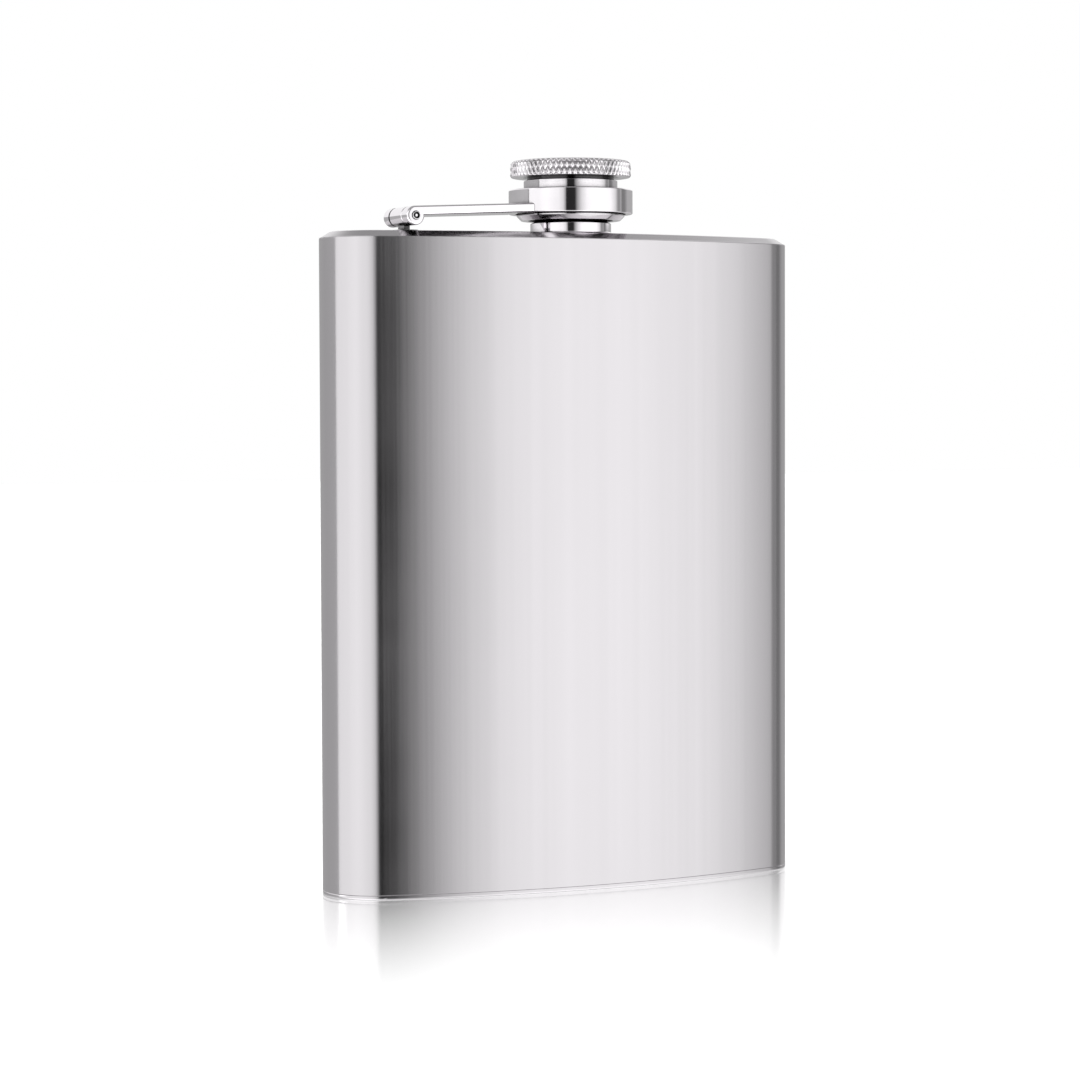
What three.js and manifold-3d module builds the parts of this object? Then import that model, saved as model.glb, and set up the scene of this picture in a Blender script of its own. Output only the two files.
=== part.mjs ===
// Hip flask with a captive screw cap, in millimetres, +Z up.
// The flask stands on its bottom plate at z = 0. X runs across its width with the hinge on the -X side,
// Y runs through its depth with the convex front towards -Y.
import * as THREE from 'three';
import { mergeVertices } from 'three/addons/utils/BufferGeometryUtils.js';
import Module from 'manifold-3d';

const wasm = await Module();
wasm.setup();

// Body section: a bar of constant thickness bent round the hip, with half-round ends
const WIDTH = 95;
const THICKNESS = 19.8;
const BEND_RADIUS = 135.7;
const WALL = 0.6;

// Body heights
const BOTTOM_EDGE = 0.8;
const BOTTOM_CHAMFER = 0.3;
const BOTTOM_DISH = 0.35;
const BOTTOM_RIM = 4;
const WALL_TOP = 119.8;
const SHOULDER_RISE = 1.2;
const SHOULDER_INSET = 1.8;
const SHOULDER_LIP = 0.01;
const SHOULDER_SHEET = 0.7;
const DECK = WALL_TOP + SHOULDER_RISE;

// Neck, measured from the deck
const NECK_COLLAR_RADIUS = 7.5;
const NECK_COLLAR_HEIGHT = 2.3;
const NECK_ROOT_RADIUS = 6.7;
const NECK_BORE_RADIUS = 5.3;
const NECK_HEIGHT = 8.6;
const NECK_SPIGOT_RADIUS = 7;
const NECK_SPIGOT_DEPTH = 1.8;
const NECK_HOLE_CLEARANCE = 0.3;
const NECK_CHAMFER = 0.4;
const THREAD_PITCH = 1.5;
const THREAD_TURNS = 2.5;
const THREAD_BEAD = 0.42;
const THREAD_CREST_RADIUS = 7.3;

// Cap, measured from the deck
const FLANGE_BOTTOM = 2.5;
const FLANGE_TOP = 3.6;
const FLANGE_BEVEL = 0.8;
const FLANGE_RADIUS = 10;
const SLEEVE_RADIUS = 8.7;
const SLEEVE_BORE_RADIUS = 7.85;
const HEAD_BOTTOM = 10.5;
const HEAD_TOP = 13.7;
const HEAD_RADIUS = 11.2;
const HEAD_CHAMFER = 0.45;
const HEAD_SPIGOT_RADIUS = 7.4;
const HEAD_SPIGOT_DEPTH = 0.5;
const LINER_RADIUS = 7.4;
const LINER_GAP = 0.1;

// Retainer ring and arm, measured from the deck
const RING_BOTTOM = 3.7;
const RING_TOP = 8.2;
const RING_RADIUS = 11.5;
const RING_BORE_RADIUS = 8.95;
const RING_POCKET_RADIUS = 10.25;
const RING_LIP = 1.3;
const RING_CHAMFER = 0.2;
const ARM_WIDTH = 11;
const ARM_HEIGHT = 1.7;
const ARM_GAP = 0.3;
const ARM_ROOT_BOTTOM = 4.15;

// Hinge, with its pin along Y
const HINGE_X = -33.8;
const HINGE_HEIGHT = 2.6;
const EYE_RADIUS = 1.75;
const EYE_LENGTH = 2.5;
const KNUCKLE_LENGTH = 5.4;
const KNUCKLE_RELIEF = 2.4;
const PIN_RADIUS = 0.75;
const PIN_OVERHANG = 0.35;
const PIN_HOLLOW_RADIUS = 0.35;
const PIN_HOLLOW_DEPTH = 1.2;
const PIN_CLEARANCE = 0.1;
const STEM_THICKNESS = 1.2;
const STEM_WIDTH = 2.6;
const FOOT_LENGTH = 3.6;
const FOOT_WIDTH = 4.4;
const FOOT_HEIGHT = 0.4;

// Roundness
const SECTION_SEGMENTS = 14;
const ROUND_SEGMENTS = 72;
const SMALL_SEGMENTS = 32;

// How far a cutting tool reaches past the solid it cuts
const OVERSHOOT = 3;

// The ring is the furthest forward and the body's ends the furthest back: Y = 0 is halfway between them
const BEND_HALF_ANGLE = Math.asin((WIDTH / 2 - THICKNESS / 2) / BEND_RADIUS);
const SAG = BEND_RADIUS * (1 - Math.cos(BEND_HALF_ANGLE));
const MID_Y = (RING_RADIUS - SAG - THICKNESS / 2) / 2;
const BEND_CENTRE_Y = MID_Y + BEND_RADIUS;
const HINGE_Z = DECK + HINGE_HEIGHT;

const brushedSteel = material('brushed_steel', 0xc4c5c7, 0.32, 1);
const polishedSteel = material('polished_steel', 0xdcdddf, 0.12, 1);
const silicone = material('silicone', 0xe8e6e0, 0.6, 0);

function material(name, color, roughness, metalness) {
  return new THREE.MeshStandardMaterial({ name, color, roughness, metalness });
}

function toManifold(geometry) {
  const bare = geometry.clone();
  bare.deleteAttribute('normal');
  bare.deleteAttribute('uv');
  const merged = mergeVertices(bare, 1e-4);
  return new wasm.Manifold(new wasm.Mesh({
    numProp: 3,
    vertProperties: new Float32Array(merged.attributes.position.array),
    triVerts: new Uint32Array(merged.index.array),
  }));
}

function toGeometry(manifold) {
  const mesh = manifold.getMesh();
  const geometry = new THREE.BufferGeometry();
  geometry.setAttribute('position', new THREE.BufferAttribute(mesh.vertProperties, 3));
  geometry.setIndex(new THREE.BufferAttribute(mesh.triVerts, 1));
  geometry.computeVertexNormals();
  return geometry;
}

function named(name, solid, material) {
  const geometry = solid.isBufferGeometry ? solid : toGeometry(solid);
  const mesh = new THREE.Mesh(geometry, material.clone());
  mesh.name = name;
  return mesh;
}

// Plan outline of the body, moved inwards by inset
function bodyOutline(inset = 0) {
  const half = THICKNESS / 2 - inset;
  const a = BEND_HALF_ANGLE;
  const endX = BEND_RADIUS * Math.sin(a);
  const endY = BEND_CENTRE_Y - BEND_RADIUS * Math.cos(a);
  const down = -Math.PI / 2;
  const up = Math.PI / 2;
  const shape = new THREE.Shape();
  shape.absarc(0, BEND_CENTRE_Y, BEND_RADIUS + half, down - a, down + a, false);
  shape.absarc(endX, endY, half, down + a, up + a, false);
  shape.absarc(0, BEND_CENTRE_Y, BEND_RADIUS - half, down + a, down - a, true);
  shape.absarc(-endX, endY, half, up - a, up - a + Math.PI, false);
  return shape;
}

function extrudeUp(shape, bottom, top) {
  const options = { depth: top - bottom, bevelEnabled: false, curveSegments: SECTION_SEGMENTS };
  return new THREE.ExtrudeGeometry(shape, options).translate(0, 0, bottom);
}

// The body outline from bottom to top, with its upper edge or lower edge taken off at an angle
function bevelledSlab(bottom, top, inset, rise, edge) {
  const body = top - bottom - rise;
  const options = {
    depth: body,
    bevelEnabled: true,
    bevelSegments: 1,
    bevelThickness: rise,
    bevelSize: inset,
    bevelOffset: -inset,
    curveSegments: SECTION_SEGMENTS,
  };
  const start = edge === 'upper' ? bottom : bottom + rise;
  const both = toManifold(new THREE.ExtrudeGeometry(bodyOutline(), options).translate(0, 0, start));
  const waste = edge === 'upper' ? blockBetween(start - rise, start) : blockBetween(top, top + rise);
  return both.subtract(waste);
}

// A block wider than the flask, to trim a slab with
function blockBetween(bottom, top) {
  const block = new THREE.BoxGeometry(2 * WIDTH, WIDTH, top - bottom);
  return toManifold(block.translate(0, 0, (bottom + top) / 2));
}

// A turned solid on the neck's axis; profile points are [radius, height above the deck]
function turned(profile, segments = ROUND_SEGMENTS) {
  const points = profile.map(([radius, height]) => new THREE.Vector2(radius, height));
  const geometry = new THREE.LatheGeometry(points, segments);
  return geometry.rotateX(Math.PI / 2).translate(0, MID_Y, DECK);
}

// A round bar along Y on the hinge's axis, from y = start to y = end measured from the neck's plane
function hingeBar(radius, start, end) {
  const bar = new THREE.CylinderGeometry(radius, radius, end - start, SMALL_SEGMENTS);
  return toManifold(bar.translate(HINGE_X, MID_Y + (start + end) / 2, HINGE_Z));
}

function block(sizeX, sizeY, sizeZ, x, y, z) {
  return toManifold(new THREE.BoxGeometry(sizeX, sizeY, sizeZ).translate(x, y, z));
}

function bodyWall() {
  const shape = bodyOutline();
  shape.holes.push(bodyOutline(WALL));
  return extrudeUp(shape, BOTTOM_EDGE, WALL_TOP);
}

// Pressed plate: a rim that stands on the table and a middle pushed up inside the wall
function bottomPlate() {
  const rim = bevelledSlab(0, BOTTOM_EDGE, BOTTOM_CHAMFER, BOTTOM_CHAMFER, 'lower');
  const middle = bodyOutline(BOTTOM_RIM - WALL);
  const pushedUp = toManifold(extrudeUp(middle, BOTTOM_CHAMFER, BOTTOM_EDGE + BOTTOM_DISH));
  const dish = toManifold(extrudeUp(bodyOutline(BOTTOM_RIM), -OVERSHOOT, BOTTOM_DISH));
  return rim.add(pushedUp).subtract(dish);
}

// Pressed shoulder: a sloping edge that meets the wall, hollow underneath, with a hole for the neck
function topPlate() {
  const slab = bevelledSlab(WALL_TOP, DECK, SHOULDER_INSET, SHOULDER_RISE - SHOULDER_LIP, 'upper');
  const hollow = bodyOutline(SHOULDER_INSET + WALL);
  const underside = toManifold(extrudeUp(hollow, WALL_TOP - OVERSHOOT, DECK - SHOULDER_SHEET));
  const holeRadius = NECK_SPIGOT_RADIUS + NECK_HOLE_CLEARANCE;
  const hole = turned([[0, -OVERSHOOT], [holeRadius, -OVERSHOOT], [holeRadius, OVERSHOOT], [0, OVERSHOOT]]);
  return slab.subtract(underside).subtract(toManifold(hole));
}

class Helix extends THREE.Curve {
  constructor(radius, pitch, turns, start) {
    super();
    Object.assign(this, { radius, pitch, turns, start });
  }

  getPoint(t, target = new THREE.Vector3()) {
    const angle = 2 * Math.PI * this.turns * t;
    const height = this.start + this.pitch * this.turns * t;
    return target.set(this.radius * Math.cos(angle), this.radius * Math.sin(angle), height);
  }
}

// Rounded bead that climbs the neck
function neckThread() {
  const bead = new THREE.Shape().absarc(0, 0, THREAD_BEAD, 0, 2 * Math.PI);
  const start = NECK_HEIGHT - NECK_CHAMFER - THREAD_BEAD - THREAD_PITCH * THREAD_TURNS;
  const path = new Helix(THREAD_CREST_RADIUS - THREAD_BEAD, THREAD_PITCH, THREAD_TURNS, start);
  const options = { extrudePath: path, steps: THREAD_TURNS * 32, curveSegments: 4 };
  return new THREE.ExtrudeGeometry(bead, options).translate(0, MID_Y, DECK);
}

function neck() {
  const profile = [
    [NECK_BORE_RADIUS, -NECK_SPIGOT_DEPTH],
    [NECK_SPIGOT_RADIUS, -NECK_SPIGOT_DEPTH],
    [NECK_SPIGOT_RADIUS, 0],
    [NECK_COLLAR_RADIUS, 0],
    [NECK_COLLAR_RADIUS, NECK_COLLAR_HEIGHT - NECK_CHAMFER],
    [NECK_ROOT_RADIUS, NECK_COLLAR_HEIGHT],
    [NECK_ROOT_RADIUS, NECK_HEIGHT - NECK_CHAMFER],
    [NECK_ROOT_RADIUS - NECK_CHAMFER, NECK_HEIGHT],
    [NECK_BORE_RADIUS + NECK_CHAMFER / 2, NECK_HEIGHT],
    [NECK_BORE_RADIUS, NECK_HEIGHT - NECK_CHAMFER / 2],
    [NECK_BORE_RADIUS, -NECK_SPIGOT_DEPTH],
  ];
  return toManifold(turned(profile)).add(toManifold(neckThread()));
}

// Tab on the deck: a foot, a narrow stem and the knuckle that the pin passes through
function hingeBracket() {
  const foot = block(FOOT_LENGTH, FOOT_WIDTH, FOOT_HEIGHT, HINGE_X, MID_Y, DECK + FOOT_HEIGHT / 2);
  const stem = block(STEM_THICKNESS, STEM_WIDTH, HINGE_HEIGHT, HINGE_X, MID_Y, DECK + HINGE_HEIGHT / 2);
  const knuckle = hingeBar(EYE_RADIUS, -KNUCKLE_LENGTH / 2, KNUCKLE_LENGTH / 2);
  const hole = hingeBar(PIN_RADIUS + PIN_CLEARANCE, -ARM_WIDTH, ARM_WIDTH);
  return foot.add(stem).add(knuckle).subtract(hole);
}

// Rivet pin, drilled at both ends so that it could be spread over the eyes
function hingePin() {
  const end = ARM_WIDTH / 2 + PIN_OVERHANG;
  const near = hingeBar(PIN_HOLLOW_RADIUS, -end - OVERSHOOT, -end + PIN_HOLLOW_DEPTH);
  const far = hingeBar(PIN_HOLLOW_RADIUS, end - PIN_HOLLOW_DEPTH, end + OVERSHOOT);
  return hingeBar(PIN_RADIUS, -end, end).subtract(near).subtract(far);
}

// Flat strap from the hinge to the ring, forked round the knuckle, with an eye on each tine
function retainerArm() {
  const rootBottom = DECK + ARM_ROOT_BOTTOM;
  const side = new THREE.Shape();
  side.moveTo(HINGE_X, HINGE_Z + EYE_RADIUS);
  side.lineTo(HINGE_X, HINGE_Z + EYE_RADIUS - ARM_HEIGHT);
  side.lineTo(0, rootBottom);
  side.lineTo(0, rootBottom + ARM_HEIGHT);
  const straight = new THREE.ExtrudeGeometry(side, { depth: ARM_WIDTH, bevelEnabled: false });
  const strap = toManifold(straight.rotateX(Math.PI / 2).translate(0, MID_Y + ARM_WIDTH / 2, 0));
  const eyes = hingeBar(EYE_RADIUS, -ARM_WIDTH / 2, ARM_WIDTH / 2);
  const slotWidth = ARM_WIDTH - 2 * EYE_LENGTH;
  const slot = block(2 * KNUCKLE_RELIEF, slotWidth, 4 * EYE_RADIUS, HINGE_X, MID_Y, HINGE_Z);
  const hole = hingeBar(PIN_RADIUS + PIN_CLEARANCE, -ARM_WIDTH, ARM_WIDTH);
  const clear = RING_RADIUS + ARM_GAP;
  const ringSpace = toManifold(turned([[0, 0], [clear, 0], [clear, HEAD_TOP], [0, HEAD_TOP]]));
  return strap.add(eyes).subtract(slot).subtract(hole).subtract(ringSpace);
}

// Ring round the cap: its upper lip runs on the sleeve, and the pocket below lets the flange climb
function retainerRing() {
  return turned([
    [RING_POCKET_RADIUS, RING_BOTTOM],
    [RING_RADIUS - RING_CHAMFER, RING_BOTTOM],
    [RING_RADIUS, RING_BOTTOM + RING_CHAMFER],
    [RING_RADIUS, RING_TOP - RING_CHAMFER],
    [RING_RADIUS - RING_CHAMFER, RING_TOP],
    [RING_BORE_RADIUS, RING_TOP],
    [RING_BORE_RADIUS, RING_TOP - RING_LIP],
    [RING_POCKET_RADIUS, RING_TOP - RING_LIP],
    [RING_POCKET_RADIUS, RING_BOTTOM],
  ]);
}

// Threaded sleeve of the cap, with the flange that keeps the ring on
function capSleeve() {
  return turned([
    [SLEEVE_BORE_RADIUS, FLANGE_BOTTOM],
    [FLANGE_RADIUS - FLANGE_BEVEL, FLANGE_BOTTOM],
    [FLANGE_RADIUS, FLANGE_BOTTOM + FLANGE_BEVEL],
    [FLANGE_RADIUS, FLANGE_TOP],
    [SLEEVE_RADIUS, FLANGE_TOP],
    [SLEEVE_RADIUS, HEAD_BOTTOM],
    [SLEEVE_BORE_RADIUS, HEAD_BOTTOM],
    [SLEEVE_BORE_RADIUS, FLANGE_BOTTOM],
  ]);
}

// Knurled grip of the cap, with a spigot that backs the liner
function capHead() {
  return turned([
    [0, HEAD_BOTTOM - HEAD_SPIGOT_DEPTH],
    [HEAD_SPIGOT_RADIUS, HEAD_BOTTOM - HEAD_SPIGOT_DEPTH],
    [HEAD_SPIGOT_RADIUS, HEAD_BOTTOM],
    [HEAD_RADIUS - HEAD_CHAMFER / 2, HEAD_BOTTOM],
    [HEAD_RADIUS, HEAD_BOTTOM + HEAD_CHAMFER / 2],
    [HEAD_RADIUS, HEAD_TOP - HEAD_CHAMFER],
    [HEAD_RADIUS - HEAD_CHAMFER, HEAD_TOP],
    [0, HEAD_TOP],
  ]);
}

// Soft disc that seals the neck
function capLiner() {
  const bottom = NECK_HEIGHT + LINER_GAP;
  const top = HEAD_BOTTOM - HEAD_SPIGOT_DEPTH;
  return turned([[0, bottom], [LINER_RADIUS, bottom], [LINER_RADIUS, top], [0, top]]);
}

const flask = new THREE.Group();
flask.add(named('body_wall', bodyWall(), brushedSteel));
flask.add(named('bottom_plate', bottomPlate(), brushedSteel));
flask.add(named('top_plate', topPlate(), brushedSteel));
flask.add(named('neck', neck(), polishedSteel));
flask.add(named('hinge_bracket', hingeBracket(), polishedSteel));
flask.add(named('hinge_pin', hingePin(), polishedSteel));
flask.add(named('retainer_arm', retainerArm(), polishedSteel));
flask.add(named('retainer_ring', retainerRing(), polishedSteel));
flask.add(named('cap_sleeve', capSleeve(), polishedSteel));
flask.add(named('cap_head', capHead(), polishedSteel));
flask.add(named('cap_liner', capLiner(), silicone));

export default flask;
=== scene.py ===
"""Looks of the hip flask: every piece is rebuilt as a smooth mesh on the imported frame."""
import math

import bmesh
import bpy
from mathutils import Matrix, Vector


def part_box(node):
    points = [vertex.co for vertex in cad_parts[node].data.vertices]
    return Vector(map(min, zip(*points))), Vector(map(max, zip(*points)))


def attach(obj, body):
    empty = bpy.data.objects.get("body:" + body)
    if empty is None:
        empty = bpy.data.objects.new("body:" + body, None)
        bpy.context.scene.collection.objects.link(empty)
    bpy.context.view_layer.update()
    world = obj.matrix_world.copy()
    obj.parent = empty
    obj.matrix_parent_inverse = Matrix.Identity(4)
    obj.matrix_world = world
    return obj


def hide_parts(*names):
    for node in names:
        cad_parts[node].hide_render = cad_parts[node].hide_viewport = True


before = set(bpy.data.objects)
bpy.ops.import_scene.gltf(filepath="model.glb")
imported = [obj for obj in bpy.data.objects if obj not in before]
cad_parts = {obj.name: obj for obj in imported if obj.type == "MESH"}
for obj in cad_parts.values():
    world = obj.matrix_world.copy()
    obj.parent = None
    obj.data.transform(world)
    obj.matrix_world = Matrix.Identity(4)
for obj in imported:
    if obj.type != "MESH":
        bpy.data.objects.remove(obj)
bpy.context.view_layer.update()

MM = 0.001

# Body
THICKNESS = 19.8 * MM
WALL = 0.6 * MM
SHOULDER_INSET = 1.8 * MM
SHOULDER_SHEET = 0.7 * MM
BOTTOM_EDGE = 0.8 * MM
BOTTOM_CHAMFER = 0.15 * MM
BOTTOM_RIM = 4 * MM
BOTTOM_DISH = 0.35 * MM
SEAM_HALF_WIDTH = 0.9 * MM
SEAM_DEPTH = 0.05 * MM
WALL_EDGE = 0.08 * MM
SHOULDER_EDGE = 0.25 * MM
BOTTOM_ROUND_OFF = 0.1 * MM

# Neck and threads
NECK_HOLE_RADIUS = 7.3 * MM
NECK_COLLAR_RADIUS = 7.5 * MM
NECK_COLLAR_TOP = 2.3 * MM
NECK_ROOT_RADIUS = 6.7 * MM
NECK_BORE_RADIUS = 5.3 * MM
NECK_SPIGOT_RADIUS = 7 * MM
THREAD_PITCH = 1.5 * MM
THREAD_DEPTH = 0.6 * MM
THREAD_TURNS = 2.5
THREAD_END = 0.8 * MM
THREAD_RUN_OUT = 0.12
THREAD_HALF_WIDTH = 0.42 * THREAD_PITCH
SLEEVE_THREAD_START = 1 * MM
SLEEVE_THREAD_TURNS = 3
SLEEVE_THREAD_DEPTH = 0.4 * MM

# Cap
SLEEVE_RADIUS = 8.7 * MM
SLEEVE_BORE_RADIUS = 7.85 * MM
SLEEVE_GROOVE_HEIGHT = 0.65 * MM
SLEEVE_GROOVE_DEPTH = 0.6 * MM
FLANGE_RISE = 1.1 * MM
FLANGE_BEVEL = 0.8 * MM
HEAD_SPIGOT_RADIUS = 7.4 * MM
HEAD_SPIGOT_DEPTH = 0.5 * MM
HEAD_CHAMFER = 0.45 * MM
HEAD_CROWN = 0.25 * MM
HEAD_FLAT_INSET = 1.3 * MM
KNURL_TEETH = 66
KNURL_DEPTH = 0.4 * MM
KNURL_RISE = 2.4 * MM
KNURL_SHARPNESS = 1.6

# Ring, arm and hinge
RING_BORE_RADIUS = 8.95 * MM
RING_POCKET_RADIUS = 10.25 * MM
RING_LIP = 1.3 * MM
ARM_HEIGHT = 1.7 * MM
ARM_EDGE = 0.45 * MM
ARM_SLOT = 6 * MM
ARM_RING_GAP = 0.05 * MM
EYE_RADIUS = 1.75 * MM
KNUCKLE_RELIEF = 2.4 * MM
PIN_RADIUS = 0.75 * MM
PIN_CLEARANCE = 0.1 * MM
PIN_CORE_RADIUS = 0.26 * MM
PIN_CORE_DROP = 0.12 * MM
PIN_GROOVE_RADIUS = 0.62 * MM
PIN_GROOVE_DEPTH = 0.5 * MM
KNUCKLE_LENGTH = 5.4 * MM
KNUCKLE_EDGE = 0.25 * MM
STEM_THICKNESS = 1.2 * MM
STEM_WIDTH = 2.6 * MM
FOOT_LENGTH = 3.6 * MM
FOOT_WIDTH = 4.4 * MM
FOOT_HEIGHT = 0.2 * MM
HINGE_ROUND_OFF = 0.1 * MM

# How near a neighbouring surface must be for the polished steel's colour to take painted shade
CORNER_REACH = 2 * MM

# The camera: azimuth in degrees round from the flask's front, downward pitch and roll in degrees, and its
# distance from the neck's axis, height and slide to its right
VIEW_AZIMUTH = -26
VIEW_PITCH = 2.39
VIEW_ROLL = -0.2
VIEW_DISTANCE = 615 * MM
VIEW_HEIGHT = 89.9 * MM
VIEW_SLIDE = -5.9 * MM
VIEW_LENS = 110
VIEW_SENSOR = 36

# The floor is glossy only in a patch in front of the flask: most at the flask's foot, and not at all beyond
# the reach. The patch has a middle along X and a half width, and it starts behind the middle line of the
# body's section. The fade is the width over which those edges end.
FLOOR_HALF = 3.0
FLOOR_GLOSS = 0.76
FLOOR_GLOSS_FALL = 1.3
FLOOR_GLOSS_REACH = 130 * MM
FLOOR_GLOSS_MIDDLE = -17 * MM
FLOOR_GLOSS_SIDE = 58 * MM
FLOOR_GLOSS_BACK = 5 * MM
FLOOR_GLOSS_FADE = 7 * MM

# Fineness of the meshes
LONG_STEPS = 96
END_STEPS = 64
ROUND_STEPS = 240
BAR_STEPS = 96
KNURL_STEPS = 12 * KNURL_TEETH
FILLET_STEPS = 5
RELIEF_STEP = 0.06 * MM

# Points within SAME_POINT in a loft, or within WELD after a bevel, are joined. The other two allow for
# rounding errors.
WELD = 0.001 * MM
NEARLY_ZERO = 1e-9
SAME_POINT = 1e-7
SAME_RADIUS = 1e-6

# Places and sizes that the frame gives
wall_low, wall_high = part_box("body_wall")
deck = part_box("top_plate")[1].z
neck_low, neck_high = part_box("neck")
ring_low, ring_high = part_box("retainer_ring")
sleeve_low, sleeve_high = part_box("cap_sleeve")
head_low, head_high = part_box("cap_head")
liner_low, liner_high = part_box("cap_liner")
pin_low, pin_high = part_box("hinge_pin")
arm_low, arm_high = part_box("retainer_arm")

axis_x, axis_y = 0.0, (ring_low.y + ring_high.y) / 2
sag = wall_high.y - wall_low.y - THICKNESS
half_chord = (wall_high.x - wall_low.x - THICKNESS) / 2
bend_radius = (half_chord ** 2 + sag ** 2) / (2 * sag)
bend_angle = math.asin(half_chord / bend_radius)
bend_centre_y = wall_low.y + THICKNESS / 2 + bend_radius
ring_radius = (ring_high.x - ring_low.x) / 2
flange_radius = (sleeve_high.x - sleeve_low.x) / 2
head_radius = (head_high.x - head_low.x) / 2
liner_radius = (liner_high.x - liner_low.x) / 2
hinge = Vector(((pin_low.x + pin_high.x) / 2, axis_y, (pin_low.z + pin_high.z) / 2))


# ---------------------------------------------------------------- mesh tools

def new_object(name, bm, sharp=35):
    """A smooth-shaded object of bm, with its edges sharp where they turn more than sharp degrees."""
    bmesh.ops.recalc_face_normals(bm, faces=bm.faces)
    for face in bm.faces:
        face.smooth = True
    mesh = bpy.data.meshes.new(name)
    bm.to_mesh(mesh)
    bm.free()
    mesh.set_sharp_from_angle(angle=math.radians(sharp))
    made = bpy.data.objects.new(name, mesh)
    bpy.context.scene.collection.objects.link(made)
    return made


def loft(name, rings, sharp=35):
    """A closed skin through rings of equal length, whose last ring meets the first."""
    bm = bmesh.new()
    rows = [[bm.verts.new(p) for p in ring] for ring in rings]
    count = len(rings[0])
    for row, after in zip(rows, rows[1:] + rows[:1]):
        for i in range(count):
            j = (i + 1) % count
            bm.faces.new((row[i], row[j], after[j], after[i]))
    bmesh.ops.remove_doubles(bm, verts=bm.verts, dist=SAME_POINT)
    return new_object(name, bm, sharp)


def section(z, inset=0.0):
    """The body's plan outline at height z, moved inwards by inset."""
    half = THICKNESS / 2 - inset
    end_x = bend_radius * math.sin(bend_angle)
    end_y = bend_centre_y - bend_radius * math.cos(bend_angle)
    quarter = math.pi / 2
    arcs = [
        (0, bend_centre_y, bend_radius + half, -quarter - bend_angle, -quarter + bend_angle, LONG_STEPS),
        (end_x, end_y, half, -quarter + bend_angle, quarter + bend_angle, END_STEPS),
        (0, bend_centre_y, bend_radius - half, -quarter + bend_angle, -quarter - bend_angle, LONG_STEPS),
        (-end_x, end_y, half, quarter - bend_angle, 3 * quarter - bend_angle, END_STEPS),
    ]
    points = []
    for x, y, radius, start, stop, steps in arcs:
        for i in range(steps):
            angle = start + (stop - start) * i / steps
            points.append(Vector((x + radius * math.cos(angle), y + radius * math.sin(angle), z)))
    return points


def filleted(corners):
    """Points of a profile whose corners are (radius, height, fillet)."""
    points = []
    count = len(corners)
    for i, (r, z, fillet) in enumerate(corners):
        here = Vector((r, z))
        if not fillet:
            points.append(here)
            continue
        before = Vector(corners[i - 1][:2]) - here
        after = Vector(corners[(i + 1) % count][:2]) - here
        before.normalize()
        after.normalize()
        turn = math.acos(max(-1.0, min(1.0, before.dot(after))))
        reach = fillet / math.tan(turn / 2)
        start, stop = here + before * reach, here + after * reach
        centre = here + (before + after).normalized() * (fillet / math.sin(turn / 2))
        first, last = start - centre, stop - centre
        sweep = first.angle_signed(last)
        for k in range(FILLET_STEPS + 1):
            points.append(centre + Matrix.Rotation(-sweep * k / FILLET_STEPS, 2) @ first)
    return points


def dense(profile, low, high, step):
    """The profile with extra points on its stretches between heights low and high."""
    points = []
    for here, after in zip(profile, profile[1:] + profile[:1]):
        points.append(here)
        span = abs(after.y - here.y)
        inside = min(here.y, after.y) >= low - NEARLY_ZERO and max(here.y, after.y) <= high + NEARLY_ZERO
        pieces = math.ceil(span / step) if inside and span > step else 1
        for k in range(1, pieces):
            points.append(here.lerp(after, k / pieces))
    return points


def turned(name, profile, steps=ROUND_STEPS, relief=None, place=None, sharp=35):
    """A turned piece of (radius, height) points. relief(angle, radius, height) gives a point's new radius."""
    place = place or Matrix.Translation((axis_x, axis_y, 0))
    bm = bmesh.new()
    rows = []
    for point in profile:
        if point.x < NEARLY_ZERO:
            rows.append([bm.verts.new(place @ Vector((0, 0, point.y)))])
            continue
        row = []
        for i in range(steps):
            angle = 2 * math.pi * i / steps
            radius = relief(angle, point.x, point.y) if relief else point.x
            spot = Vector((radius * math.cos(angle), radius * math.sin(angle), point.y))
            row.append(bm.verts.new(place @ spot))
        rows.append(row)
    for row, after in zip(rows, rows[1:] + rows[:1]):
        if len(row) == 1 and len(after) == 1:
            continue
        for i in range(steps):
            j = (i + 1) % steps
            if len(row) == 1:
                bm.faces.new((row[0], after[j], after[i]))
            elif len(after) == 1:
                bm.faces.new((row[i], row[j], after[0]))
            else:
                bm.faces.new((row[i], row[j], after[j], after[i]))
    return new_object(name, bm, sharp)


def smoothstep(value, low, high):
    """0 below low, 1 above high, and an S-curve between them."""
    share = max(0.0, min(1.0, (value - low) / (high - low)))
    return share * share * (3 - 2 * share)


def block(size, centre):
    """A box that other pieces are joined to or cut with."""
    bm = bmesh.new()
    bmesh.ops.create_cube(bm, size=1)
    bmesh.ops.scale(bm, vec=size, verts=bm.verts)
    bmesh.ops.translate(bm, vec=centre, verts=bm.verts)
    return new_object("tool", bm)


def bar_along_y(radius, length, rim=0):
    """A round bar on the hinge's axis, with its rims rounded to the radius rim."""
    place = Matrix.Translation(hinge) @ Matrix.Rotation(math.pi / 2, 4, "X")
    half = length / 2
    profile = filleted([(0, -half, 0), (radius, -half, rim), (radius, half, rim), (0, half, 0)])
    return turned("tool", profile, BAR_STEPS, place=place)


def applied(made):
    """made with its modifiers turned into its mesh."""
    graph = bpy.context.evaluated_depsgraph_get()
    mesh = bpy.data.meshes.new_from_object(made.evaluated_get(graph))
    made.modifiers.clear()
    made.data = mesh
    return made


def combine(made, tool, operation):
    """made joined to or cut by tool, which is used up."""
    change = made.modifiers.new(operation, "BOOLEAN")
    change.operation = operation
    change.solver = "EXACT"
    change.object = tool
    applied(made)
    bpy.data.objects.remove(tool)
    return made


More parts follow.
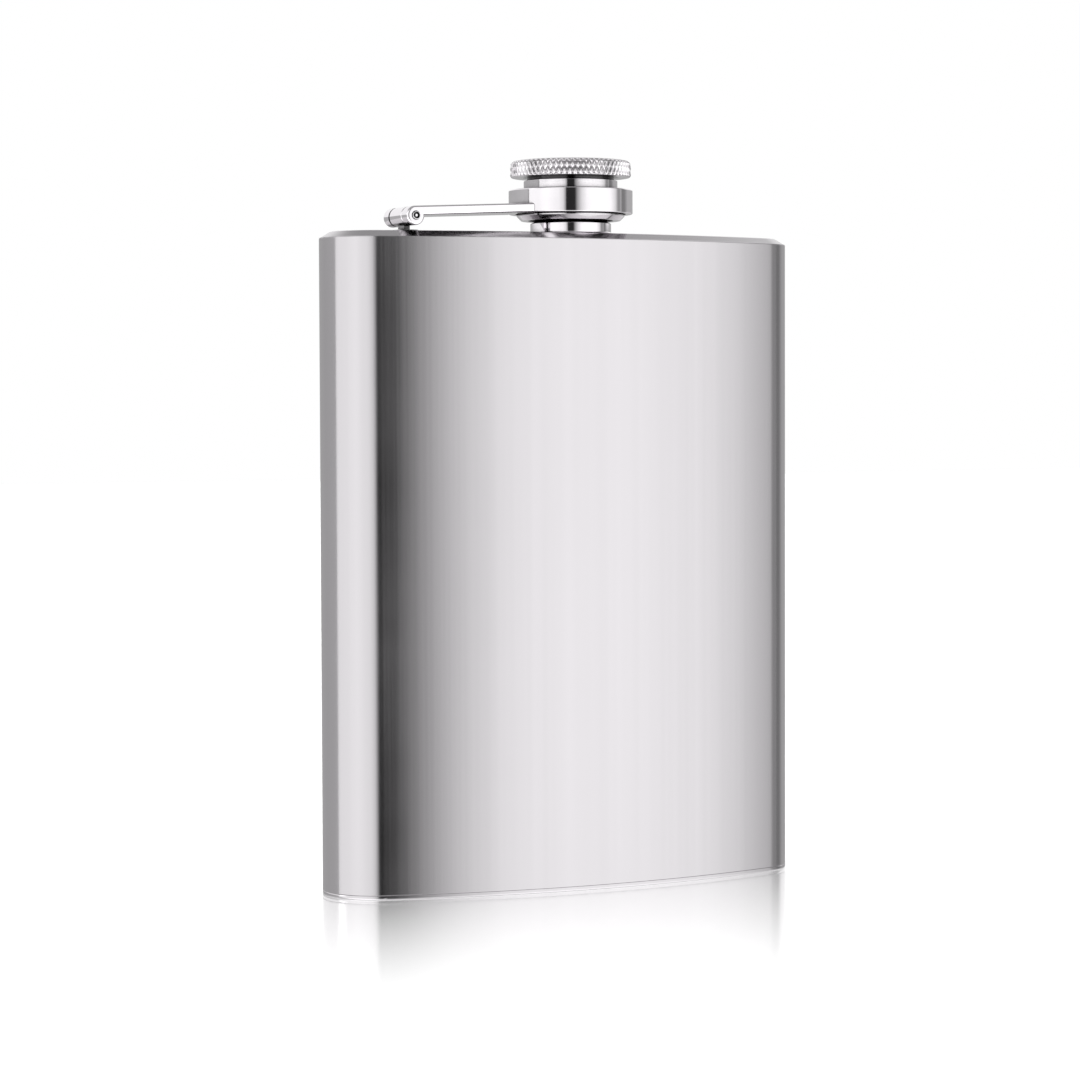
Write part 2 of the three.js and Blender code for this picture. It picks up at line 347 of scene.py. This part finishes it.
def round_edges(made, width, angle=35):
    """made with its edges rounded, and with the faces of no width that this leaves taken away."""
    bevel = made.modifiers.new("bevel", "BEVEL")
    bevel.width = width
    bevel.segments = 3
    bevel.limit_method = "ANGLE"
    bevel.angle_limit = math.radians(angle)
    applied(made)
    bm = bmesh.new()
    bm.from_mesh(made.data)
    bmesh.ops.remove_doubles(bm, verts=bm.verts, dist=WELD)
    bmesh.ops.dissolve_degenerate(bm, edges=bm.edges, dist=WELD)
    bm.to_mesh(made.data)
    bm.free()
    for face in made.data.polygons:
        face.use_smooth = True
    made.data.set_sharp_from_angle(angle=math.radians(angle))
    return made


def settle_normals(made):
    """Shades each large face flat or evenly curved, so that only the fillets beside it bend reflections."""
    weighting = made.modifiers.new("normals", "WEIGHTED_NORMAL")
    weighting.mode = "FACE_AREA"
    weighting.weight = 100
    weighting.keep_sharp = True
    applied(made)


# ---------------------------------------------------------------- body

def seam(ring):
    """Ring with the weld's shallow groove sunk into the narrow side away from the hinge."""
    sunk = []
    middle_y = bend_centre_y - bend_radius * math.cos(bend_angle)
    for p in ring:
        away = abs(p.y - middle_y)
        if p.x > wall_high.x - THICKNESS / 2 and away < SEAM_HALF_WIDTH:
            dip = SEAM_DEPTH * (1 - smoothstep(away, SEAM_HALF_WIDTH * 0.3, SEAM_HALF_WIDTH))
            p = p - Vector((dip, 0, 0))
        sunk.append(p)
    return sunk


def build_body_wall():
    low, high = wall_low.z, wall_high.z
    edge = WALL_EDGE
    outer = [
        section(low, edge),
        section(low + edge * 0.3, edge * 0.3),
        section(low + edge, 0),
        section(high - edge, 0),
        section(high - edge * 0.3, edge * 0.3),
        section(high, edge),
    ]
    inner = [section(high, WALL), section(low, WALL)]
    return loft("body_wall_skin", [seam(r) for r in outer] + inner, sharp=50)


def build_top_plate():
    low = wall_high.z
    edge = SHOULDER_EDGE
    slope = SHOULDER_INSET / (deck - low)
    under = deck - SHOULDER_SHEET
    rim = section(low, 0)
    spread = [(p - Vector((axis_x, axis_y, low))).normalized() for p in rim]

    def hole(z):
        centre = Vector((axis_x, axis_y, z))
        return [centre + d * NECK_HOLE_RADIUS for d in spread]

    rings = [
        hole(deck),
        section(deck, SHOULDER_INSET + edge * 1.6),
        section(deck - edge * 0.12, SHOULDER_INSET + edge * 0.6),
        section(deck - edge * 0.55, SHOULDER_INSET - edge * 0.35),
        section(low + edge * 0.6, slope * edge * 0.6),
        section(low + edge * 0.2, edge * 0.08),
        section(low, edge * 0.1),
        section(low, WALL),
        section(under, SHOULDER_INSET + WALL),
        hole(under),
    ]
    return loft("shoulder", rings, sharp=40)


def build_bottom_plate():
    top = BOTTOM_EDGE
    middle = THICKNESS / 2
    round_off = BOTTOM_ROUND_OFF
    rings = [
        section(0, BOTTOM_CHAMFER + round_off),
        section(BOTTOM_CHAMFER * 0.3, BOTTOM_CHAMFER * 0.45),
        section(BOTTOM_CHAMFER, 0.02 * MM),
        section(top - round_off, 0),
        section(top, round_off),
        section(top, BOTTOM_RIM - WALL),
        section(top + BOTTOM_DISH, BOTTOM_RIM),
        section(top + BOTTOM_DISH, middle),
        section(BOTTOM_DISH, middle),
        section(BOTTOM_DISH, BOTTOM_RIM + 2 * round_off),
        section(BOTTOM_DISH - round_off, BOTTOM_RIM),
        section(round_off, BOTTOM_RIM - 4 * round_off),
        section(0, BOTTOM_RIM - 6 * round_off),
    ]
    return loft("base_plate", rings, sharp=50)


# ---------------------------------------------------------------- neck and cap

def thread_height(angle, z, first, turns):
    """0 to 1: the height of a rounded thread that starts at height first and climbs anticlockwise."""
    best = 0.0
    for lap in range(-1, math.ceil(turns) + 1):
        travel = angle / (2 * math.pi) + lap
        if not 0 <= travel <= turns:
            continue
        away = abs(z - first - travel * THREAD_PITCH) / THREAD_HALF_WIDTH
        run_in = smoothstep(travel, 0, THREAD_RUN_OUT)
        run_out = 1 - smoothstep(travel, turns - THREAD_RUN_OUT, turns)
        if away < 1:
            best = max(best, run_in * run_out * (0.5 + 0.5 * math.cos(math.pi * away)) ** 0.8)
    return best


def build_neck():
    low, high = neck_low.z, neck_high.z
    collar = deck + NECK_COLLAR_TOP
    corners = [
        (NECK_BORE_RADIUS, low, 0),
        (NECK_SPIGOT_RADIUS, low, 0),
        (NECK_SPIGOT_RADIUS, deck, 0),
        (NECK_COLLAR_RADIUS + 0.25 * MM, deck, 0),
        (NECK_COLLAR_RADIUS, deck + 0.25 * MM, 0.3 * MM),
        (NECK_COLLAR_RADIUS, collar - 0.35 * MM, 0.1 * MM),
        (NECK_ROOT_RADIUS, collar, 0.15 * MM),
        (NECK_ROOT_RADIUS, high - 0.35 * MM, 0.1 * MM),
        (NECK_ROOT_RADIUS - 0.35 * MM, high, 0.1 * MM),
        (NECK_BORE_RADIUS, high, 0.25 * MM),
    ]
    profile = dense(filleted(corners), collar, high - 0.3 * MM, RELIEF_STEP)
    first = high - THREAD_END - THREAD_TURNS * THREAD_PITCH

    def relief(angle, radius, height):
        if abs(radius - NECK_ROOT_RADIUS) > SAME_RADIUS:
            return radius
        return radius + THREAD_DEPTH * thread_height(angle, height, first, THREAD_TURNS)

    return turned("spout", profile, relief=relief)


def build_cap_sleeve():
    low, high = sleeve_low.z, sleeve_high.z
    flange_top = low + FLANGE_RISE
    corners = [
        (SLEEVE_BORE_RADIUS, low, 0.2 * MM),
        (flange_radius - FLANGE_BEVEL, low, 0.1 * MM),
        (flange_radius, low + FLANGE_BEVEL, 0.08 * MM),
        (flange_radius, flange_top, 0.08 * MM),
        (SLEEVE_RADIUS, flange_top, 0.2 * MM),
        (SLEEVE_RADIUS, high - SLEEVE_GROOVE_HEIGHT, 0.06 * MM),
        (SLEEVE_RADIUS - SLEEVE_GROOVE_DEPTH, high - SLEEVE_GROOVE_HEIGHT, 0),
        (SLEEVE_RADIUS - SLEEVE_GROOVE_DEPTH, high, 0),
        (SLEEVE_BORE_RADIUS, high, 0),
    ]
    profile = dense(filleted(corners), low, high, RELIEF_STEP)
    first = low + SLEEVE_THREAD_START

    def relief(angle, radius, height):
        if abs(radius - SLEEVE_BORE_RADIUS) > SAME_RADIUS:
            return radius
        return radius - SLEEVE_THREAD_DEPTH * thread_height(angle, height, first, SLEEVE_THREAD_TURNS)

    return turned("cap_thread_sleeve", profile, relief=relief)


def build_cap_head():
    spigot = head_low.z
    low, high = spigot + HEAD_SPIGOT_DEPTH, head_high.z
    crown = HEAD_CROWN
    corners = [
        (0, spigot, 0),
        (HEAD_SPIGOT_RADIUS, spigot, 0.1 * MM),
        (HEAD_SPIGOT_RADIUS, low, 0),
        (head_radius - HEAD_CHAMFER / 2, low, 0.08 * MM),
        (head_radius, low + HEAD_CHAMFER / 2, 0.08 * MM),
        (head_radius, high - crown - HEAD_CHAMFER, 0.15 * MM),
        (head_radius - HEAD_CHAMFER, high - crown, 0.15 * MM),
        (head_radius - HEAD_FLAT_INSET, high - crown / 3, 0.3 * MM),
        (0, high, 0),
    ]
    profile = dense(filleted(corners), low + HEAD_CHAMFER / 2, high - crown, RELIEF_STEP)
    grip_low, grip_high = low + HEAD_CHAMFER * 0.4, high - crown - HEAD_CHAMFER * 0.6

    def relief(angle, radius, height):
        if radius < head_radius - HEAD_CHAMFER:
            return radius
        lines = []
        for way in (-1, 1):
            turn = KNURL_TEETH * angle / (2 * math.pi) + way * height / KNURL_RISE
            lines.append(1 - 2 * abs(turn - round(turn)))
        fade = smoothstep(height, grip_low - 0.2 * MM, grip_low + 0.1 * MM)
        fade *= 1 - smoothstep(height, grip_high - 0.1 * MM, grip_high + 0.35 * MM)
        return radius - KNURL_DEPTH * fade * max(lines) ** KNURL_SHARPNESS

    return turned("cap_knurled_head", profile, steps=KNURL_STEPS, relief=relief, sharp=60)


def build_cap_liner():
    corners = [
        (0, liner_low.z, 0),
        (liner_radius, liner_low.z, 0.2 * MM),
        (liner_radius, liner_high.z, 0.05 * MM),
        (0, liner_high.z, 0),
    ]
    return turned("sealing_washer", filleted(corners))


def build_retainer_ring():
    low, high = ring_low.z, ring_high.z
    corners = [
        (RING_POCKET_RADIUS, low, 0.1 * MM),
        (ring_radius, low, 0.2 * MM),
        (ring_radius, high, 0.25 * MM),
        (RING_BORE_RADIUS, high, 0.15 * MM),
        (RING_BORE_RADIUS, high - RING_LIP, 0.1 * MM),
        (RING_POCKET_RADIUS, high - RING_LIP, 0.1 * MM),
    ]
    return turned("cap_ring", filleted(corners))


# ---------------------------------------------------------------- arm and hinge

def build_retainer_arm():
    width = arm_high.y - arm_low.y
    root_bottom = arm_high.z - ARM_HEIGHT
    eye_top = hinge.z + EYE_RADIUS
    slope = (arm_high.z - eye_top) / (arm_high.x - hinge.x)
    far = -0.6 * ring_radius
    rise = slope * (far - hinge.x)
    outline = [
        (hinge.x, eye_top),
        (hinge.x, eye_top - ARM_HEIGHT),
        (far, eye_top - ARM_HEIGHT + rise),
        (far, eye_top + rise),
    ]
    bm = bmesh.new()
    near = [bm.verts.new((x, arm_low.y, z)) for x, z in outline]
    back = [bm.verts.new((x, arm_low.y + width, z)) for x, z in outline]
    bm.faces.new(near)
    bm.faces.new(reversed(back))
    for i in range(4):
        j = (i + 1) % 4
        bm.faces.new((near[i], near[j], back[j], back[i]))
    lengthwise = [e for e in bm.edges if abs(e.verts[0].co.x - e.verts[1].co.x) > width]
    bmesh.ops.bevel(bm, geom=lengthwise, offset=ARM_EDGE, segments=5, profile=0.5, affect="EDGES")
    arm = new_object("cap_strap", bm)
    combine(arm, bar_along_y(EYE_RADIUS, width, ARM_EDGE), "UNION")
    slot = block((2 * KNUCKLE_RELIEF, ARM_SLOT, 6 * EYE_RADIUS), hinge)
    combine(arm, slot, "DIFFERENCE")
    combine(arm, bar_along_y(PIN_RADIUS + PIN_CLEARANCE, 2 * width), "DIFFERENCE")
    clear = ring_radius + ARM_RING_GAP
    low, high = root_bottom - 5 * MM, root_bottom + 9 * MM
    space = [Vector((0, low)), Vector((clear, low)), Vector((clear, high)), Vector((0, high))]
    combine(arm, turned("tool", space), "DIFFERENCE")
    return round_edges(arm, HINGE_ROUND_OFF)


def build_hinge_bracket():
    foot = block((FOOT_LENGTH, FOOT_WIDTH, FOOT_HEIGHT), (hinge.x, axis_y, deck + FOOT_HEIGHT / 2))
    foot.name = "hinge_tab"
    rise = hinge.z - deck
    stem = block((STEM_THICKNESS, STEM_WIDTH, rise), (hinge.x, axis_y, deck + rise / 2))
    combine(foot, stem, "UNION")
    combine(foot, bar_along_y(EYE_RADIUS, KNUCKLE_LENGTH, KNUCKLE_EDGE), "UNION")
    combine(foot, bar_along_y(PIN_RADIUS + PIN_CLEARANCE, 3 * KNUCKLE_LENGTH), "DIFFERENCE")
    return round_edges(foot, HINGE_ROUND_OFF)


def build_hinge_pin():
    half = (pin_high.y - pin_low.y) / 2
    core_end = half - PIN_CORE_DROP
    groove = half - PIN_GROOVE_DEPTH
    end = [
        (0, core_end, 0),
        (PIN_CORE_RADIUS, core_end, 0.08 * MM),
        (PIN_CORE_RADIUS, groove, 0),
        (PIN_GROOVE_RADIUS, groove, 0),
        (PIN_GROOVE_RADIUS, half, 0.05 * MM),
        (PIN_RADIUS, half, 0.1 * MM),
    ]
    corners = [(r, -y, fillet) for r, y, fillet in end] + end[::-1]
    place = Matrix.Translation(hinge) @ Matrix.Rotation(math.pi / 2, 4, "X")
    return turned("hinge_rivet", filleted(corners), BAR_STEPS, place=place)


# ---------------------------------------------------------------- materials

class Nodes:
    """Short calls to build a node tree."""

    def __init__(self, tree):
        self.tree = tree
        tree.nodes.clear()

    def add(self, kind, inputs=(), **settings):
        made = self.tree.nodes.new(kind)
        for key, value in settings.items():
            setattr(made, key, value)
        for key, value in dict(inputs).items():
            if isinstance(value, bpy.types.NodeSocket):
                self.tree.links.new(value, made.inputs[key])
            else:
                made.inputs[key].default_value = value
        return made

    def math(self, operation, *values, clamp=False):
        made = self.add("ShaderNodeMath", operation=operation, use_clamp=clamp)
        for i, value in enumerate(values):
            if isinstance(value, bpy.types.NodeSocket):
                self.tree.links.new(value, made.inputs[i])
            else:
                made.inputs[i].default_value = value
        return made.outputs[0]

    def noise(self, vector, scale, detail=4.0, roughness=0.6, stretch=(1, 1, 1)):
        spread = self.add("ShaderNodeVectorMath", {0: vector, 1: stretch}, operation="MULTIPLY")
        inputs = {"Vector": spread.outputs[0], "Scale": scale, "Detail": detail, "Roughness": roughness}
        return self.add("ShaderNodeTexNoise", inputs).outputs[0]

    def span(self, value, low, high, new_low, new_high):
        inputs = {"Value": value, 1: low, 2: high, 3: new_low, 4: new_high}
        return self.add("ShaderNodeMapRange", inputs).outputs[0]

    def bump(self, height, strength, distance, normal=None):
        inputs = {"Height": height, "Strength": strength, "Distance": distance}
        if normal:
            inputs["Normal"] = normal
        return self.add("ShaderNodeBump", inputs).outputs[0]

    def mix(self, factor, first, second):
        made = self.add("ShaderNodeMix", data_type="RGBA")
        for key, value in ((0, factor), (6, first), (7, second)):
            if isinstance(value, bpy.types.NodeSocket):
                self.tree.links.new(value, made.inputs[key])
            else:
                made.inputs[key].default_value = value
        return made.outputs[2]


def new_material(name):
    material = bpy.data.materials.new(name)
    material.use_nodes = True
    return material, Nodes(material.node_tree)


def finish_material(material, nodes, **inputs):
    shader = nodes.add("ShaderNodeBsdfPrincipled", {k.replace("_", " "): v for k, v in inputs.items()})
    nodes.add("ShaderNodeOutputMaterial", {"Surface": shader.outputs[0]})
    return material


def grey(value):
    return (value, value, value, 1)


def steel_tone(value):
    """Stainless steel's grey, with a touch less green."""
    return (value, value * 0.97, value, 1)


def brushed_steel(name, level, grain, smooth, rough, spread):
    """Satin steel. grain is how fine the brushing is along each axis, and spread is its anisotropy."""
    material, nodes = new_material(name)
    place = nodes.add("ShaderNodeTexCoord").outputs["Object"]
    lines = nodes.noise(place, 900, 5, 0.7, grain)
    broad = nodes.noise(place, 220, 3, 0.6, grain)
    cloud = nodes.noise(place, 28, 3, 0.55)
    tone = nodes.span(broad, 0.3, 0.7, 0.0, 1.0)
    colour = nodes.mix(tone, steel_tone(level * 0.975), steel_tone(level * 1.025))
    wear = nodes.span(cloud, 0.35, 0.75, smooth, rough)
    streaks = nodes.span(lines, 0.3, 0.7, -0.02, 0.03)
    roughness = nodes.math("ADD", wear, streaks, clamp=True)
    normal = nodes.bump(lines, 0.2, 0.00002)
    normal = nodes.bump(cloud, 0.06, 0.0002, normal)
    look = {"Base_Color": colour, "Roughness": roughness, "Normal": normal}
    return finish_material(material, nodes, Metallic=1.0, Anisotropic=spread, **look)


def polished_steel(name, level, smooth, rough):
    """Mirror-polished steel with painted shade in its corners, grooves and gaps, faint turning lines and a
    slightly cloudy gloss.
    """
    material, nodes = new_material(name)
    place = nodes.add("ShaderNodeTexCoord").outputs["Object"]
    rings = nodes.noise(place, 2500, 2, 0.5, (0.04, 0.04, 1))
    cloud = nodes.noise(place, 180, 4, 0.6)
    tone = nodes.span(cloud, 0.35, 0.7, 0.0, 1.0)
    bright = nodes.mix(tone, steel_tone(level * 0.96), steel_tone(level * 1.03))
    # Painted shade: where ambient occlusion finds a surface nearby, the colour is mixed towards near-black
    # steel
    open_sky = nodes.add("ShaderNodeAmbientOcclusion", {"Distance": CORNER_REACH}, samples=16).outputs["AO"]
    free_of_painted_shade = nodes.span(open_sky, 0.5, 0.66, 0.0, 1.0)
    colour = nodes.mix(free_of_painted_shade, steel_tone(0.05), bright)
    roughness = nodes.span(cloud, 0.3, 0.75, smooth, rough)
    normal = nodes.bump(rings, 0.12, 0.00001)
    look = {"Base_Color": colour, "Roughness": roughness, "Normal": normal}
    return finish_material(material, nodes, Metallic=1.0, **look)


def silicone():
    material, nodes = new_material("silicone")
    place = nodes.add("ShaderNodeTexCoord").outputs["Object"]
    cloud = nodes.noise(place, 300, 4, 0.6)
    colour = nodes.mix(cloud, (0.76, 0.74, 0.7, 1), (0.86, 0.85, 0.82, 1))
    roughness = nodes.span(cloud, 0.3, 0.7, 0.42, 0.6)
    normal = nodes.bump(nodes.noise(place, 2400, 2), 0.2, 0.00003)
    return finish_material(material, nodes, Base_Color=colour, Roughness=roughness, Normal=normal)


# ---------------------------------------------------------------- studio

def floor_gloss(nodes):
    """How glossy the floor is at each place: a patch in front of the flask that falls off away from it."""
    place = nodes.add("ShaderNodeTexCoord").outputs["Object"]
    parts = nodes.add("ShaderNodeSeparateXYZ", {0: place}).outputs
    side = nodes.math("ABSOLUTE", parts[0])
    along = nodes.math("MINIMUM", side, half_chord)
    beyond = nodes.math("SUBTRACT", side, along)
    bend = nodes.math("DIVIDE", nodes.math("POWER", along, 2.0), 2 * bend_radius)
    across = nodes.math("SUBTRACT", parts[1], nodes.math("ADD", bend, wall_low.y + THICKNESS / 2))
    squares = nodes.math("ADD", nodes.math("POWER", beyond, 2.0), nodes.math("POWER", across, 2.0))
    away = nodes.math("SUBTRACT", nodes.math("SQRT", squares), THICKNESS / 2)
    near = nodes.math("POWER", nodes.span(away, 0.0, FLOOR_GLOSS_REACH, 1.0, 0.0), FLOOR_GLOSS_FALL)
    off_centre = nodes.math("ABSOLUTE", nodes.math("SUBTRACT", parts[0], FLOOR_GLOSS_MIDDLE))
    within = nodes.span(off_centre, FLOOR_GLOSS_SIDE, FLOOR_GLOSS_SIDE + FLOOR_GLOSS_FADE, 1.0, 0.0)
    ahead = nodes.span(across, FLOOR_GLOSS_BACK, FLOOR_GLOSS_BACK + FLOOR_GLOSS_FADE, 1.0, 0.0)
    patch = nodes.math("MULTIPLY", within, ahead)
    return nodes.math("MULTIPLY", patch, nodes.math("MULTIPLY", near, FLOOR_GLOSS))


def floor_material():
    material, nodes = new_material("floor")
    matt = nodes.add("ShaderNodeBsdfDiffuse", {"Color": grey(0.93)})
    shiny = nodes.add("ShaderNodeBsdfGlossy", {"Color": grey(1.0), "Roughness": 0.09})
    shaders = {1: matt.outputs[0], 2: shiny.outputs[0]}
    both = nodes.add("ShaderNodeMixShader", {0: floor_gloss(nodes), **shaders})
    nodes.add("ShaderNodeOutputMaterial", {"Surface": both.outputs[0]})
    return material


def build_floor():
    bm = bmesh.new()
    signs = [(-1, -1), (1, -1), (1, 1), (-1, 1)]
    bm.faces.new([bm.verts.new((x * FLOOR_HALF, y * FLOOR_HALF, 0)) for x, y in signs])
    floor = new_object("floor", bm)
    floor.data.materials.append(floor_material())
    floor.visible_glossy = False


# Two softboxes stand in front of the flask, and the camera looks through the gap between them. Each has the
# (x, y) of its two ends, with the flask on the left of the way from one to the other, and its brightness by
# the share of that way.
LEFT_SOFTBOX = (
    (-397 * MM, 135 * MM),
    (-78 * MM, -116 * MM),
    [(0, 1), (0.1, 1.08), (0.6, 1.1), (0.77, 1.2), (0.92, 1.04), (0.97, 0.8), (1, 0.2)],
)
RIGHT_SOFTBOX = (
    (-70 * MM, -180 * MM),
    (326 * MM, -52 * MM),
    [
        (0.03, 0), (0.07, 0.34), (0.13, 0.78), (0.2, 1.1), (0.3, 1.24),
        (0.52, 1.13), (0.65, 0.75), (0.75, 0.27), (1, 0.24),
    ],
)
SOFTBOX_BOTTOM = -90 * MM
SOFTBOX_TOP = 240 * MM

# The rest of the room as (azimuth in degrees, brightness). Azimuth 0 is straight in front, 90 is at +X.
ROOM = [(-180, 0.44), (-113, 0.5), (-109, 0.01), (77, 0.04), (82, 0.22), (93, 0.22), (106, 0.45), (180, 0.44)]


def brightness(nodes, share, levels):
    """A colour ramp through (share, brightness) levels, as a share of the brightest, and the brightest."""
    ramp = nodes.add("ShaderNodeValToRGB", {0: share})
    peak = max(level for _, level in levels)
    stops = ramp.color_ramp.elements
    while len(stops) > 1:
        stops.remove(stops[-1])
    for i, (place, level) in enumerate(levels):
        stop = stops[0] if i == 0 else stops.new(place)
        stop.position = place
        stop.color = grey(level / peak)
    return ramp.outputs[0], peak


def build_softbox(name, start, stop, levels):
    """An upright rectangular light over the plan from start to stop, seen only in reflections."""
    start, stop = Vector((*start, 0)), Vector((*stop, 0))
    along = (stop - start).normalized()
    length, height = (stop - start).length, SOFTBOX_TOP - SOFTBOX_BOTTOM
    data = bpy.data.lights.new(name, "AREA")
    data.shape = "RECTANGLE"
    data.size, data.size_y = length, height
    data.use_nodes = True
    nodes = Nodes(data.node_tree)
    place = nodes.add("ShaderNodeNewGeometry").outputs["Position"]
    from_start = nodes.add("ShaderNodeVectorMath", {0: place, 1: start}, operation="SUBTRACT").outputs[0]
    travel = nodes.add("ShaderNodeVectorMath", {0: from_start, 1: along}, operation="DOT_PRODUCT")
    share = nodes.math("DIVIDE", travel.outputs["Value"], length)
    colour, peak = brightness(nodes, share, levels)
    glow = nodes.add("ShaderNodeEmission", {"Color": colour, "Strength": 1.0})
    nodes.add("ShaderNodeOutputLight", {"Surface": glow.outputs[0]})
    data.energy = peak * math.pi * length * height
    lamp = bpy.data.objects.new(name, data)
    middle = (start + stop) / 2 + Vector((0, 0, (SOFTBOX_BOTTOM + SOFTBOX_TOP) / 2))
    up = Vector((0, 0, 1))
    turn = Matrix((along, up, along.cross(up))).transposed()
    lamp.matrix_world = Matrix.Translation(middle) @ turn.to_4x4()
    lamp.visible_camera = False
    lamp.visible_diffuse = False
    bpy.context.scene.collection.objects.link(lamp)


def build_room():
    """What the flask reflects past the softboxes: walls, a white backdrop behind, a ceiling and the ground.

    Looked at directly, it is all white.
    """
    world = bpy.data.worlds.new("room")
    bpy.context.scene.world = world
    world.use_nodes = True
    nodes = Nodes(world.node_tree)
    way = nodes.add("ShaderNodeTexCoord").outputs["Generated"]
    parts = nodes.add("ShaderNodeSeparateXYZ", {0: way}).outputs
    azimuth = nodes.math("ARCTAN2", parts[0], nodes.math("MULTIPLY", parts[1], -1.0))
    share = nodes.span(azimuth, -math.pi, math.pi, 0.0, 1.0)
    around, peak = brightness(nodes, share, [((angle + 180) / 360, level) for angle, level in ROOM])
    around = nodes.add("ShaderNodeVectorMath", {0: around, "Scale": peak}, operation="SCALE").outputs[0]
    behind = nodes.span(parts[1], 0.0, 0.25, 0.0, 1.0)
    over = nodes.span(parts[2], 0.08, 0.11, 0.0, 1.0)
    under = nodes.span(parts[2], 0.6, 0.8, 1.0, 0.0)
    backdrop = nodes.math("MULTIPLY", behind, nodes.math("MULTIPLY", over, under))
    ceiling = nodes.span(parts[2], 0.45, 0.92, 0.0, 1.0)
    ground = nodes.span(parts[2], -0.2, -0.5, 0.0, 1.0)
    colour = nodes.mix(backdrop, around, grey(1.0))
    colour = nodes.mix(ceiling, colour, grey(0.42))
    colour = nodes.mix(ground, colour, grey(0.9))
    seen = nodes.add("ShaderNodeLightPath").outputs["Is Camera Ray"]
    colour = nodes.mix(seen, colour, grey(1.0))
    glow = nodes.add("ShaderNodeBackground", {0: colour, 1: 1.0})
    nodes.add("ShaderNodeOutputWorld", {"Surface": glow.outputs[0]})


def build_overhead_light():
    """Wide light from above for the floor, without shadows, that the metal doesn't mirror."""
    data = bpy.data.lights.new("overhead", "SUN")
    data.energy = 2.9
    data.angle = math.radians(70)
    data.use_shadow = False
    lamp = bpy.data.objects.new("overhead", data)
    lamp.location = (0, 0, 1)
    lamp.visible_glossy = False
    bpy.context.scene.collection.objects.link(lamp)


def build_camera():
    azimuth = math.radians(VIEW_AZIMUTH)
    pitch = math.radians(VIEW_PITCH)
    roll = math.radians(VIEW_ROLL)
    right = Vector((math.cos(azimuth), math.sin(azimuth), 0))
    back = Vector((math.sin(azimuth), -math.cos(azimuth), 0))
    data = bpy.data.cameras.new("camera")
    data.lens = VIEW_LENS
    data.sensor_width = VIEW_SENSOR
    camera = bpy.data.objects.new("camera", data)
    place = Vector((axis_x, axis_y, VIEW_HEIGHT)) + back * VIEW_DISTANCE + right * VIEW_SLIDE
    tilt = Matrix.Rotation(math.pi / 2 - pitch, 4, "X") @ Matrix.Rotation(roll, 4, "Z")
    camera.matrix_world = Matrix.Translation(place) @ Matrix.Rotation(azimuth, 4, "Z") @ tilt
    bpy.context.scene.collection.objects.link(camera)
    bpy.context.scene.camera = camera


# ---------------------------------------------------------------- put together

body_steel = brushed_steel("body_steel", 0.66, (1, 1, 0.004), 0.11, 0.15, spread=0.75)
shoulder_steel = brushed_steel("shoulder_steel", 0.6, (0.02, 0.02, 1), 0.16, 0.22, spread=0.3)
bright_steel = polished_steel("bright_steel", 0.88, 0.05, 0.1)
grip_steel = polished_steel("grip_steel", 0.76, 0.12, 0.2)

PIECES = [
    (build_body_wall, "body_wall", "flask", "brushed_steel", body_steel),
    (build_bottom_plate, "bottom_plate", "flask", "brushed_steel", body_steel),
    (build_top_plate, "top_plate", "flask", "shoulder_steel", shoulder_steel),
    (build_neck, "neck", "flask", "polished_steel", bright_steel),
    (build_hinge_bracket, "hinge_bracket", "flask", "polished_steel", bright_steel),
    (build_hinge_pin, "hinge_pin", "arm", "polished_steel", bright_steel),
    (build_retainer_arm, "retainer_arm", "arm", "polished_steel", bright_steel),
    (build_retainer_ring, "retainer_ring", "arm", "polished_steel", bright_steel),
    (build_cap_sleeve, "cap_sleeve", "cap", "polished_steel", bright_steel),
    (build_cap_head, "cap_head", "cap", "polished_steel", grip_steel),
    (build_cap_liner, "cap_liner", "liner", "silicone", silicone()),
]

for build, node, body, slot, material in PIECES:
    piece = build()
    settle_normals(piece)
    piece.data.materials.append(material)
    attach(piece, body)
    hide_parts(node)

build_floor()
build_softbox("left_softbox", *LEFT_SOFTBOX)
build_softbox("right_softbox", *RIGHT_SOFTBOX)
build_room()
build_overhead_light()
build_camera()
bpy.context.scene.view_settings.view_transform = "Standard"
